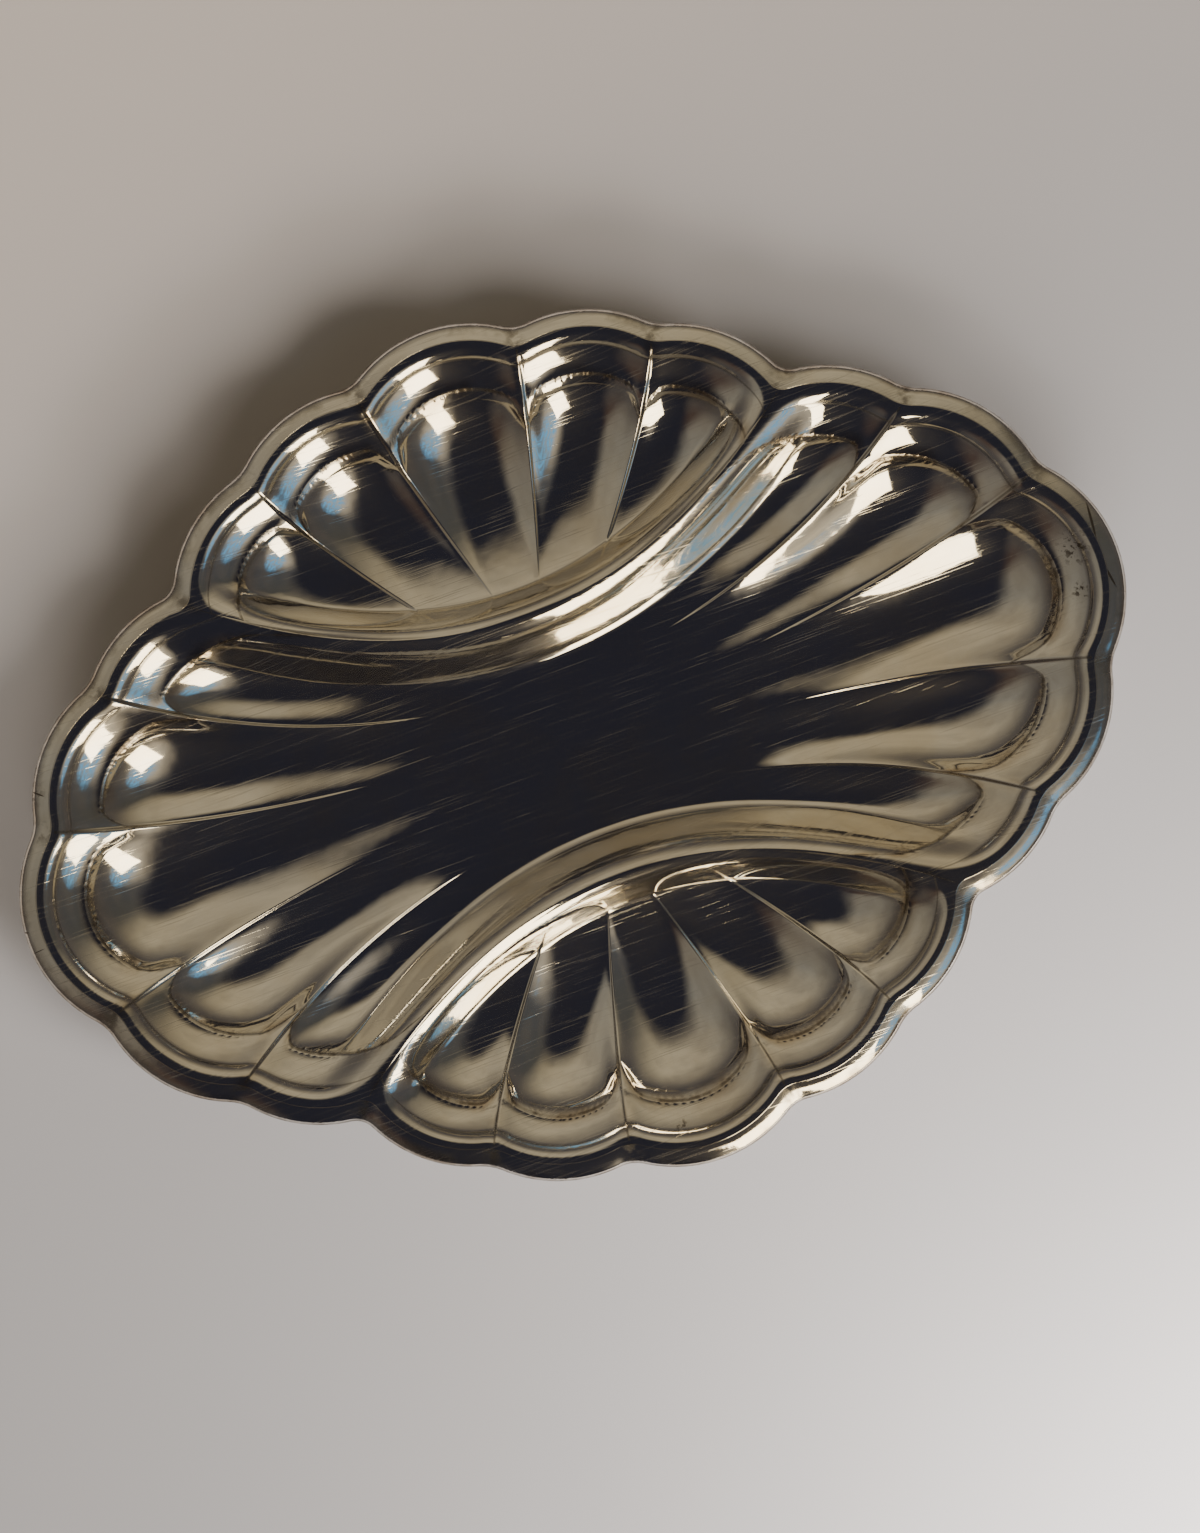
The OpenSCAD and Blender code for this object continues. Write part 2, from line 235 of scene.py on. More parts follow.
def lobeCentre(i):
    a, b = notches[i], notches[(i + 1) % lobes]
    chord = b - a
    long = np.linalg.norm(chord)
    return (a + b) / 2 + np.array((-chord[1], chord[0])) / long * math.sqrt(lobeR ** 2 - long ** 2 / 4)


centres = [lobeCentre(i) for i in range(lobes)]


def innerNotch(i, inset):  # where the arcs that run inset inside the outline cross
    a, b = centres[(i - 1) % lobes], centres[i % lobes]
    mid = (a + b) / 2
    out = notches[i % lobes] - mid
    return mid + out / np.linalg.norm(out) * math.sqrt((lobeR - inset) ** 2 - np.dot(b - a, b - a) / 4)


def lobeShare(s):  # closer together at the notches
    even = outline["evenShare"]
    return even * s + (1 - even) * (0.5 - 0.5 * math.cos(math.pi * s))


def lobeArc(i, inset):  # middle, start and turn of a lobe's arc, and where it begins to round into the next
    c = centres[i % lobes]
    p, q = innerNotch(i, inset) - c, innerNotch(i + 1, inset) - c
    a = math.atan2(p[1], p[0])
    turn = (math.atan2(q[1], q[0]) - a) % (2 * math.pi)
    return c, a, turn, outline["notchRound"] / (turn * (lobeR - inset))


def arcPoint(arc, inset, share):
    c, a, turn = arc[:3]
    w = a + turn * share
    return c + (lobeR - inset) * np.array((math.cos(w), math.sin(w)))


def ring(r, inset):  # point r of the line that runs inset inside the outline
    i, s = divmod(r, steps)
    share = lobeShare(s / steps)
    arc = lobeArc(i, inset)
    rounded = arc[3]
    if rounded <= share <= 1 - rounded:
        return arcPoint(arc, inset, share)
    last = share > 0.5
    if last:
        before, after, t = arc, lobeArc(i + 1, inset), 0.5 - 0.5 * (1 - share) / rounded
    else:
        before, after, t = lobeArc(i - 1, inset), arc, 0.5 + 0.5 * share / rounded
    a, b = arcPoint(before, inset, 1 - before[3]), arcPoint(after, inset, after[3])
    return (1 - t) ** 2 * a + 2 * t * (1 - t) * innerNotch(i + last, inset) + t * t * b


around = lobes * steps
section = around // 4  # from one end of a divider to the next
endNotch = ring(section, rimIn)
crestBow = (endNotch[1] - pressing["dividerY"]) / endNotch[0] ** 2


def crestY(x):
    return pressing["dividerY"] + crestBow * x * x


# A flute line of the middle compartment, from p on the ledge to the middle. f is the share of the way.
def endPath(p, f):
    x = p[0] * (1 - f)
    rim = p[1] / crestY(p[0])
    inner = rim * (pressing["flutePull"] + (1 - pressing["flutePull"]) * rim * rim)
    return np.array((x, (inner + (rim - inner) * (1 - f) ** 2) * crestY(x)))


def sidePath(p, f):  # in a side compartment it runs from the ledge to the divider
    pull = pressing["fanPull"]
    x = p[0] * (pull + (1 - pull) * (p[0] / endNotch[0]) ** pressing["fanPower"])
    y = math.copysign(crestY(x), p[1])
    return np.array((p[0] + (x - p[0]) * f ** pressing["fanBend"], p[1] + (y - p[1]) * f))


def squareness(r, p, direction):  # how squarely a flute line leaves the rim
    def toCentre(c):
        return max(pressing["leanLeast"], float(np.dot(c - p, direction)) / np.linalg.norm(c - p))

    i, s = divmod(r, steps)
    here = toCentre(centres[i % lobes])
    return here if s else (here + toCentre(centres[(i - 1) % lobes])) / 2


def acrossFlute(r):  # 0 in the middle of a flute, 1 on a ridge
    return abs(2 * lobeShare((r % steps) / steps) - 1)


def crestGap(q):  # distance to the nearest crest line, and the crest's height there
    x = min(abs(q[0]), endNotch[0])
    steep = 2 * crestBow * q[0]
    top = pressing["dividerHeight"] - pressing["sheet"]
    top += (height - pressing["dividerHeight"]) * (x / endNotch[0]) ** 2
    return abs(crestY(q[0]) - abs(q[1])) / math.sqrt(1 + steep * steep), top


def creaseRun(r):  # the crease turns inward along the ridges, with a web between the ends of two flutes
    near = max(0, (acrossFlute(r) - pressing["webFrom"]) / (1 - pressing["webFrom"]))
    return pressing["wallRun"] + pressing["webRun"] * near ** 2


def spread(low, high, count, power=1.0):  # the steps from low to high, without low itself
    return [low + (high - low) * ((k + 1) / count) ** power for k in range(count)]


def slopeFoot(p, path, long, slopeWidth):  # where a side compartment's flute line meets the divider's slope
    end = path(p, 1)
    direction = end - path(p, pressing["lastStep"])
    steep = 2 * crestBow * end[0]
    lean = abs(direction[1] * math.copysign(1, p[1]) - direction[0] * steep)
    lean = max(pressing["leanLeast"], lean / np.linalg.norm(direction) / math.sqrt(1 + steep * steep))
    return 1 - min(pressing["slopeMost"], slopeWidth / lean / long)


# What each point of the flat plan carries after its x and y, for the node tree and the finish.
planLabels = ["inward", "across", "ridgeRun", "ridgeFall", "crestAway", "crestTop", "slopeWidth", "sideDish",
              "onLedge", "creaseRun"]


def planPoint(q, **carried):
    return (q[0], q[1], *(carried.get(label, 0.0) for label in planLabels))


def fluteLine(r, path, run, fall, slopeWidth, side):  # the points from step r of the ledge inward
    s = pressing
    p = ring(r, rimIn)
    long = np.linalg.norm(p - path(p, 1))
    near = path(p, s["firstStep"]) - p
    square = squareness(r, p, near / np.linalg.norm(near))
    crease = creaseRun(r)
    wall = min(s["sideWallMost"] if side else s["endWallMost"], crease / square / long)
    bead = wall * s["beadRun"] / crease
    shares = [0.0] + spread(0, bead, s["beadCols"]) + spread(bead, wall, s["wallCols"])
    if side:
        foot = slopeFoot(p, path, long, slopeWidth)
        shares += spread(wall, foot, s["sideFloorCols"]) + spread(foot, 1, s["slopeCols"])
    else:
        shares += spread(wall, 1, s["floorCols"], s["floorPower"])
    line = []
    for f in shares:
        q = path(p, f)
        away, top = crestGap(q)
        line.append(planPoint(q, inward=f * long * square, across=acrossFlute(r), ridgeRun=run,
                              ridgeFall=fall, crestAway=away, crestTop=top, slopeWidth=slopeWidth,
                              sideDish=float(side), creaseRun=crease))
    return line


def crestStrip(points, crest, last, reach):  # triangles between a crest and the row of points beside it
    crestX = [points[i][0] for i in crest]
    ends = len(crest) - 1, len(last) - 1
    strip = []
    i = j = 0
    while i < ends[0] or j < ends[1]:
        crestNext = (crestX[i] + crestX[i + 1]) / 2 if i < ends[0] else -math.inf
        rowNext = (reach[j] + reach[j + 1]) / 2 if j < ends[1] else -math.inf
        if crestNext >= rowNext:
            face, i = (last[j], crest[i + 1], crest[i]), i + 1
        else:
            face, j = (last[j], last[j + 1], crest[i]), j + 1
        if len(set(face)) == 3:
            strip.append(face)
    return strip


def flatPlan():  # the sheet seen from above, as points and faces
    s = pressing
    points, faces = [], []

    def keep(line):
        start = len(points)
        points.extend(line)
        return list(range(start, start + len(line)))

    rows = []
    for r in range(section + 1):  # the middle compartment from end to end
        half = fluteLine(r, endPath, s["endRidgeRun"], s["endRidgeFall"], s["dividerIn"], False)
        left = [(-q[0], *q[1:]) for q in half[-2::-1]]
        rows.append(keep(half + left))
    cols = len(rows[0]) - 1
    for a, b in zip(rows, rows[1:]):
        faces += [(a[k], b[k], b[k + 1], a[k + 1]) for k in range(cols)]
    ledge = [None] * around  # the point at each step of the ledge's inner edge
    for r in range(section):
        ledge[r], ledge[(3 * section - r) % around] = rows[r][0], rows[r][cols]
    ledge[section], ledge[2 * section] = rows[section][0], rows[section][cols]
    for side in (1, -1):  # the two side compartments
        crest = rows[section] if side > 0 else rows[0]
        lines, reach = [], []
        for r in range(section + 1, 2 * section):
            line = fluteLine(r, sidePath, s["sideRidgeRun"], s["sideRidgeFall"], s["dividerOut"], True)
            reach.append(line[-1][0])
            if side < 0:
                line = [(q[0], -q[1], *q[2:]) for q in line]
            lines.append(keep(line[:-1]))
            ledge[r if side > 0 else (5 * section - r) % around] = lines[-1][0]
        tall = len(lines[0])
        lines = [[crest[0]] * tall] + lines + [[crest[cols]] * tall]
        reach = [endNotch[0]] + reach + [-endNotch[0]]
        for a, b in zip(lines, lines[1:]):
            for k in range(tall - 1):
                face = [a[k], b[k], b[k + 1], a[k + 1]]
                faces.append(tuple(dict.fromkeys(face if side > 0 else face[::-1])))
        for face in crestStrip(points, crest, [line[-1] for line in lines], reach):
            faces.append(face if side > 0 else face[::-1])
    inner = ledge
    for part in spread(0, 1, s["ledgeCols"]):
        inset = rimIn - s["ledge"] * part
        outer = keep([planPoint(ring(r, inset), across=acrossFlute(r), ridgeRun=1.0, ridgeFall=1.0,
                                crestAway=1.0, slopeWidth=s["dividerIn"], onLedge=part,
                                creaseRun=s["wallRun"]) for r in range(around)])
        for r in range(around):
            after = (r + 1) % around
            faces.append((inner[r], outer[r], outer[after], inner[after]))
        inner = outer
    return points, faces


def plainMesh(name, points, faces):
    mesh = bpy.data.meshes.new(name)
    mesh.from_pydata(points, [], faces)
    mesh.validate()
    mesh.shade_smooth()
    return mesh


def addObject(name, mesh):
    piece = bpy.data.objects.new(name, mesh)
    bpy.context.scene.collection.objects.link(piece)
    return piece


def settle(piece, name):  # the evaluated shape as a plain mesh
    mesh = bpy.data.meshes.new_from_object(piece.evaluated_get(bpy.context.evaluated_depsgraph_get()))
    mesh.name = name
    piece.modifiers.clear()
    piece.data = mesh


def treeSizes():  # the node tree's inputs, with their names spelt out
    names = ["sheet", "crown", "beadRun", "beadFall", "beadPower", "wallRun", "shelfSlope", "shelfEase",
             "creaseHeight", "scoopRun", "quickShare", "quickPower", "webSlope", "fluteShape", "rimFlat",
             "rimReach", "rimRound", "ridgeRound", "ridgeLow", "lowShare", "tail", "tailStart", "tailFull",
             "tailFrom", "tailTo", "footHeight", "footRun", "footBlend"]
    spelt = {"".join(" " + c if c.isupper() else c for c in name).title(): pressing[name] for name in names}
    return {"Depth": depth, **spelt}


# Height rule of the pressing, as a node tree on the flat plan.
def pressTree(sizes):
    group = bpy.data.node_groups.new("pressFlutes", "GeometryNodeTree")
    face = group.interface
    face.new_socket("Geometry", in_out="INPUT", socket_type="NodeSocketGeometry")
    for name in sizes:
        face.new_socket(name, in_out="INPUT", socket_type="NodeSocketFloat")
    face.new_socket("Finish", in_out="INPUT", socket_type="NodeSocketMaterial")
    face.new_socket("Geometry", in_out="OUTPUT", socket_type="NodeSocketGeometry")
    t = NodeSheet(group)

    def given(name):
        return t.make("NodeGroupInput", out=name)

    def read(label):
        return t.make("GeometryNodeInputNamedAttribute", {"data_type": "FLOAT"}, {"Name": label})

    place = t.make("GeometryNodeInputPosition")
    x, y = (t.make("ShaderNodeSeparateXYZ", None, {0: place}, axis) for axis in (0, 1))
    inward, across, sideDish = read("inward"), read("across"), read("sideDish")
    deep, bead = given("Depth"), given("Bead Run")
    wallRun, crease = given("Wall Run"), given("Crease Height")

    # the bead, the shelf, and the scoop below the crease
    past = (inward - bead).atLeast(0).atMost(wallRun - bead)
    shelf = past * (given("Shelf Slope") - given("Shelf Ease") * past / (wallRun - bead))
    drop = given("Bead Fall") * bead * (inward / bead).atMost(1) ** given("Bead Power") + shelf
    full = given("Bead Fall") * bead + (given("Shelf Slope") - given("Shelf Ease")) * (wallRun - bead)
    wall = deep - (deep - crease) * drop / full - given("Web Slope") * (inward - wallRun).atLeast(0)
    web = read("creaseRun") - wallRun
    left = (1 - (inward - wallRun - web) / (given("Scoop Run") - web)).atLeast(0)
    quick = given("Quick Share")
    scoop = quick * left.atMost(1) ** given("Quick Power") + (1 - quick) * left * left
    onWall = inward < wallRun + web
    low = onWall * wall + (1 - onWall) * (crease - given("Web Slope") * web) * scoop

    # the ridges between the flutes, as tall as in the solids
    ending = (1 - sideDish) * (1 - abs(x).between(given("Tail From"), given("Tail To")))
    high = deep * (1 - inward / read("ridgeRun")).atLeast(0) ** read("ridgeFall") * (1 - ending)
    along = (inward / read("ridgeRun")).atMost(1)
    soft = given("Rim Round") + (given("Ridge Round") - given("Rim Round")) * along
    top = 1 - given("Ridge Low") * (given("Low Share") + (1 - given("Low Share")) * along)
    side = (1 - ((1 - across) ** 2 + soft * soft).root()).atLeast(0) * top / (1 - soft)
    nearRim = inward.math("EXPONENT", 0 - (inward / given("Rim Reach")) ** 2)
    shape = given("Flute Shape") + given("Rim Flat") * nearRim
    wave = 0.5 + 0.5 * across.math("COSINE", math.pi * (1 - across))
    tail = (1 - sideDish - ending) * inward.between(given("Tail Start"), given("Tail Full"))
    fluted = low + (high - low).atLeast(0) * side ** shape + given("Tail") * tail * wave

    # the dividers, with a gentle foot in the side compartments
    slope = (1 - (read("crestAway") / read("slopeWidth")) ** 2).atLeast(0)
    steep = read("crestTop") * slope * slope
    reach = (1 - read("crestAway") / given("Foot Run")).atLeast(0)
    foot = sideDish * given("Foot Height") * reach * reach
    blend = given("Foot Blend")
    divider = 0.5 * (steep + foot + ((steep - foot) ** 2 + blend * blend).root() - blend)

    # the ledge, a little crowned
    ledge = read("onLedge") - 0.5
    sag = (read("onLedge") > 0.01) * given("Crown") * (4 * ledge * ledge)
    z = given("Sheet") + deep - (deep - fluted) * (deep - divider) / deep - sag
    raised = t.make("GeometryNodeSetPosition", None,
                    {"Geometry": given("Geometry"),
                     "Position": t.make("ShaderNodeCombineXYZ", None, {0: x, 1: y, 2: z})})
    real = t.make("GeometryNodeRealizeInstances", None, {0: raised})
    done = t.make("GeometryNodeSetMaterial", None, {"Geometry": real, "Material": given("Finish")})
    t.make("NodeGroupOutput", None, {0: done})
    return group


def addNodes(piece, group, values):
    modifier = piece.modifiers.new(group.name, "NODES")
    modifier.node_group = group
    for item in group.interface.items_tree:
        if item.in_out == "INPUT" and item.name in values:
            modifier[item.identifier] = values[item.name]


def newFinish(name):
    finish = bpy.data.materials.new(name)
    finish.use_nodes = True
    finish.node_tree.nodes.clear()
    return finish, NodeSheet(finish.node_tree)


silver = {
    "clean": (0.87, 0.84, 0.78), "warm": (0.74, 0.62, 0.41), "brown": (0.42, 0.30, 0.17),
    # the dark colour serves the real stains and also the painted shade and painted dark reflection of the
    # marks
    "dirt": (0.085, 0.060, 0.042), "dirtAndShadeCover": 0.85,
    "film": [(0.6, 16, 0.5), (0.4, 85, 0.6)],  # share, scale and roughness of each layer of noise
    "filmEdge": (0.40, 0.66), "brownScale": 60, "brownEdge": (0.40, 0.66),
    "smooth": 0.045, "filmRough": 0.03, "dirtAndShadeRough": 0.25, "dull": 0.40,
    "haze": 0.02, "scratchHaze": 0.18, "filmHaze": 0.03, "dirtAndShadeHaze": 0.3,  # shares of the dull finish
    "wave": 0.12 * mm, "waveScale": 95, "chatter": 0.04 * mm, "scratch": 0.008 * mm,  # depth of the relief
    # turn, scale along and across, and edge
    "scratches": [(4, 22, 2400, (0.63, 0.73)), (-31, 26, 2000, (0.62, 0.72)), (66, 30, 1800, (0.64, 0.74))],
    "patchScale": 240, "patchEdge": (0.40, 0.62),
    # x, y and size in mm
    "stains": [(149, 4, 7), (146, -8, 4), (-8, -108.6, 2.5), (-143, 38, 6), (-150, -14, 5)],
    "stainHeart": 0.2, "stainHigh": 0.8, "stainScale": 420, "stainEdge": (0.52, 0.60),
}
sheetMarks = {
    "yellow": 0.34,
    "creaseLine": (0.15 * mm, 0.65 * mm), "creaseDark": (0.4, 0.45),
    "kinkLine": (0.05 * mm, 0.3 * mm), "kinkDark": 0.5,
    # the fold keys paint a dark reflection as a thin line along the ridges near the rim
    "foldShare": (0.975, 0.995), "foldRun": (6 * mm, 26 * mm), "foldStart": 0.2 * mm, "foldPaintedReflection": 0.6,
    "chatterLine": (0.3 * mm, 1.3 * mm), "chatterTurns": 62,
    "creaseBrown": (0.3 * mm, 4 * mm), "creaseBrownShare": 0.6,
    "ridgeBrown": (0.8, 1.0), "ridgeBrownRun": (2 * mm, 14 * mm), "ridgeBrownShare": 0.5,
}
borderMarks = {
    "yellow": 0.3,
    "mottleScale": 45, "mottleEdge": (0.48, 0.64), "mottleRun": (2.5 * mm, 4.5 * mm), "mottleDark": 0.5,
    # painted shade along the outer edge and in the notches
    "edgeRun": (0.25 * mm, 0.9 * mm), "edgePaintedShade": (0.45, 0.4),
    "notchShare": (0.80, 0.99), "notchPaintedShade": 0.7,
    "brownRun": (0.5 * mm, 3 * mm), "brownShare": 0.5, "relief": 0.15,
    # x and y in mm, turn, length and width
    "nicks": [(-142.5, 37.6, -38, 4.5, 0.6), (-155, 18.6, -20, 1.6, 0.5), (-158.8, 3, -20, 2.4, 0.5),
              (-157, -3, 4, 4, 0.3), (154.6, 9, 84, 12, 0.9), (154.2, -7, 100, 8, 0.8)],
    "nickEdge": (0.3, 0.55),
}


def silverPlate(name, dirtAndShadeOf, yellow):
    finish, t = newFinish(name)
    place = t.make("ShaderNodeTexCoord", None, None, 3)

    def noise(scale, detail=4, rough=0.6):
        return t.make("ShaderNodeTexNoise", None,
                      {"Vector": place, "Scale": scale, "Detail": detail, "Roughness": rough})

    def streak(turn, long, wide):
        drawn = t.make("ShaderNodeMapping", None,
                       {"Vector": place, "Rotation": (0, 0, math.radians(turn)), "Scale": (long, wide, long)})
        return t.make("ShaderNodeTexNoise", None, {"Vector": drawn, "Scale": 1.0, "Detail": 2.0})

    def read(label):
        return t.make("ShaderNodeAttribute", {"attribute_name": label}, None, 2)

    def bump(high, distance, under):
        return t.make("ShaderNodeBump", None,
                      {"Distance": distance, "Height": high, **({"Normal": under} if under else {})})

    layers = [share * noise(scale, rough=rough) for share, scale, rough in silver["film"]]
    film = (layers[0] + layers[1]).between(*silver["filmEdge"])  # the yellow film of tarnish
    lines = [streak(turn, long, wide).between(*edge) for turn, long, wide, edge in silver["scratches"]]
    scratch = lines[0] + lines[1] + lines[2]
    patchy = noise(silver["patchScale"], detail=3).between(*silver["patchEdge"])
    dirtAndShade, brown, relief = dirtAndShadeOf(t, place, read, noise, patchy)
    for x, y, size in silver["stains"]:
        middle = (x * mm, y * mm, height * silver["stainHigh"])
        away = t.make("ShaderNodeVectorMath", {"operation": "DISTANCE"}, {0: place, 1: middle}, 1)
        spot = 1 - away.between(silver["stainHeart"] * size * mm, size * mm)
        specks = noise(silver["stainScale"], detail=3, rough=0.7).between(*silver["stainEdge"])
        dirtAndShade = dirtAndShade.atLeast(spot * specks)
    colour = t.mixColour(film * yellow, (*silver["clean"], 1), (*silver["warm"], 1))
    brown = brown * noise(silver["brownScale"]).between(*silver["brownEdge"])
    colour = t.mixColour(brown, colour, (*silver["brown"], 1))
    # stains, and the painted shade along the roll's edge and notches and the painted dark reflection on the
    # ridges, all take this dark colour
    colour = t.mixColour(dirtAndShade * silver["dirtAndShadeCover"], colour, (*silver["dirt"], 1))
    normal = bump(noise(silver["waveScale"], detail=2, rough=0.5), silver["wave"], None)
    normal = bump(relief, silver["chatter"], normal)
    normal = bump(scratch, silver["scratch"], normal)
    rough = silver["smooth"] + silver["filmRough"] * film + silver["dirtAndShadeRough"] * dirtAndShade
    bright = t.make("ShaderNodeBsdfPrincipled", None,
                    {"Base Color": colour, "Metallic": 1.0, "Normal": normal, "Roughness": rough})
    dull = t.make("ShaderNodeBsdfPrincipled", None,
                  {"Base Color": colour, "Metallic": 1.0, "Roughness": silver["dull"]})
    haze = silver["haze"] + silver["scratchHaze"] * scratch.atMost(1)
    haze = haze + silver["filmHaze"] * film + silver["dirtAndShadeHaze"] * dirtAndShade
    both = t.make("ShaderNodeMixShader", None, {0: haze.atMost(1), 1: bright, 2: dull})
    t.make("ShaderNodeOutputMaterial", None, {"Surface": both})
    return finish


# Dark lines in the creases and at the bead's kink, a painted dark reflection along the ridges near the rim,
# brown tarnish, and the small marks that pressing left along the creases.
def sheetDirtAndShade(t, place, read, noise, patchy):
    s = sheetMarks
    inward, across = read("inward"), read("across")
    crease = abs(inward - read("creaseRun"))
    kink = abs(inward - pressing["beadRun"])
    # painted dark reflection: a thin dark line along each ridge near the rim
    paintedRidgeDark = across.between(*s["foldShare"]) * (1 - inward.between(*s["foldRun"])) * (inward > s["foldStart"])
    line = (1 - crease.between(*s["creaseLine"])) * (s["creaseDark"][0] + s["creaseDark"][1] * patchy)
    dirtAndShade = line.atLeast((1 - kink.between(*s["kinkLine"])) * s["kinkDark"])
    dirtAndShade = dirtAndShade.atLeast(paintedRidgeDark * s["foldPaintedReflection"])
    wave = across.math("SINE", across * s["chatterTurns"])
    relief = (1 - crease.between(*s["chatterLine"])) * wave * patchy
    ridge = across.between(*s["ridgeBrown"]) * (1 - inward.between(*s["ridgeBrownRun"]))
    brown = (1 - crease.between(*s["creaseBrown"])) * s["creaseBrownShare"] + ridge * s["ridgeBrownShare"]
    return dirtAndShade, brown.atMost(1), relief


def borderDirtAndShade(t, place, read, noise, patchy):  # painted shade along the outer edge and in the notches, where the lip turns under; also mottle, brown tarnish and nicks
    s = borderMarks
    inset, across = read("inset"), read("across")
    mottle = noise(s["mottleScale"], rough=0.65).between(*s["mottleEdge"])
    mottle = mottle * (1 - inset.between(*s["mottleRun"])) * s["mottleDark"]
    # painted shade along the outer edge, where the roll curls under
    edge = (1 - inset.between(*s["edgeRun"])) * (s["edgePaintedShade"][0] + s["edgePaintedShade"][1] * patchy)
    # painted shade in the notches
    notch = across.between(*s["notchShare"]) * patchy * s["notchPaintedShade"]
    brown = (1 - inset.between(*s["brownRun"])) * s["brownShare"]
    dirtAndShade = edge.atLeast(notch).atLeast(mottle)
    for x, y, turn, long, wide in s["nicks"]:
        there = t.make("ShaderNodeMapping", {"vector_type": "TEXTURE"},
                       {"Vector": place, "Location": (x * mm, y * mm, 0),
                        "Rotation": (0, 0, math.radians(turn)), "Scale": (long * mm, wide * mm, 1)})
        away = t.make("ShaderNodeVectorMath", {"operation": "LENGTH"}, {0: there}, 1)
        dirtAndShade = dirtAndShade.atLeast(1 - away.between(*s["nickEdge"]))
    return dirtAndShade, brown, patchy * s["relief"]


def buildPressing():
    points, faces = flatPlan()
    mesh = plainMesh("dishPressing", [(q[0], q[1], 0) for q in points], faces)
    table = np.array([q[2:] for q in points], np.float32)
    for k, label in enumerate(planLabels):
        mesh.attributes.new(label, "FLOAT", "POINT").data.foreach_set("value", table[:, k].copy())
    piece = addObject("dishPressing", mesh)
    sizes = treeSizes()
    finish = silverPlate("silverSheet", sheetDirtAndShade, sheetMarks["yellow"])
    addNodes(piece, pressTree(sizes), {**sizes, "Finish": finish})
    thick = piece.modifiers.new("sheet", "SOLIDIFY")
    thick.thickness = pressing["sheet"]
    thick.offset = -1
    settle(piece, "dishPressing")
    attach(piece, "root")
    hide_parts("dish_pressing")
    print("pressing:", len(piece.data.polygons), "faces")


def rollPoint(s, inset, turn):  # a point of the oval roll, inset from its outer face
    away = (s["roll"] - inset) * math.sin(turn)
    z = height - s["rollHeight"] + (s["rollHeight"] - inset) * math.cos(turn)
    return s["roll"] - away, z - s["lean"] * (1 - math.exp(-away / s["leanRun"]))


def sweep(name, profile):  # carries a closed profile of inset and height round the platter
    count = len(profile)
    points = [(*ring(r, inset), z) for r in range(around) for inset, z in profile]
    faces = []
    for r in range(around):
        a, b = r * count, (r + 1) % around * count
        faces += [(a + i, a + (i + 1) % count, b + (i + 1) % count, b + i) for i in range(count)]
    mesh = plainMesh(name, points, faces)
    insets = [inset for r in range(around) for inset, z in profile]
    shares = [acrossFlute(r) for r in range(around) for q in profile]
    for label, values in (("inset", insets), ("across", shares)):
        mesh.attributes.new(label, "FLOAT", "POINT").data.foreach_set("value", values)
    return mesh


def buildBorder():
    s = border
    under = height - pressing["sheet"] - s["gap"]
    whole = math.radians(90 + s["under"])
    turns = [whole * (i / s["rollSteps"]) ** s["rollPower"] for i in range(s["rollSteps"] + 1)]
    tip = s["roll"] + s["tongue"]
    profile = [(s["roll"], under)] + [rollPoint(s, 0, w) for w in turns]
    profile += [rollPoint(s, s["metal"], w) for w in turns[:s["hollowFrom"]:-1]]
    profile += [(s["roll"], under - s["metal"]), (tip, under - s["metal"]), (tip, under)]
    mesh = sweep("rimBorder", profile)
    mesh.set_sharp_from_angle(angle=math.radians(s["sharp"]))
    mesh.materials.append(silverPlate("silverBorder", borderDirtAndShade, borderMarks["yellow"]))
    piece = addObject("rimBorder", mesh)
    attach(piece, "root")
    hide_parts("rim_border")
    print("border:", len(mesh.polygons), "faces")


wire = {"thick": 2 * mm, "sides": 12}


def buildWire():
    s = border
    radius = wire["thick"] / 2
    inset, z = s["metal"] + s["gap"] + radius, height - s["rollHeight"] - s["lean"]
    turns = [2 * math.pi * i / wire["sides"] for i in range(wire["sides"])]
    profile = [(inset + radius * math.cos(w), z + radius * math.sin(w)) for w in turns]
    mesh = sweep("rimCoreWire", profile[::-1])
    mesh.materials.append(silverPlate("coreWire", borderDirtAndShade, borderMarks["yellow"]))
    piece = addObject("rimCoreWire", mesh)
    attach(piece, "root")
    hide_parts("rim_core_wire")
    print("core wire:", len(mesh.polygons), "faces")


buildPressing()
buildBorder()
buildWire()

floorSet = {
    "half": 40.0, "drop": 0.3 * mm,
    "pale": [(0.52, 0.50, 0.485), (0.57, 0.55, 0.535)], "cloudScale": 5,
    "warm": (0.76, 0.67, 0.58), "paintedLightLean": -0.6, "paintedLightRun": (-0.05, 0.35),  # painted warm light, warmer and brighter towards the picture's top left
    "rough": 0.55,
}


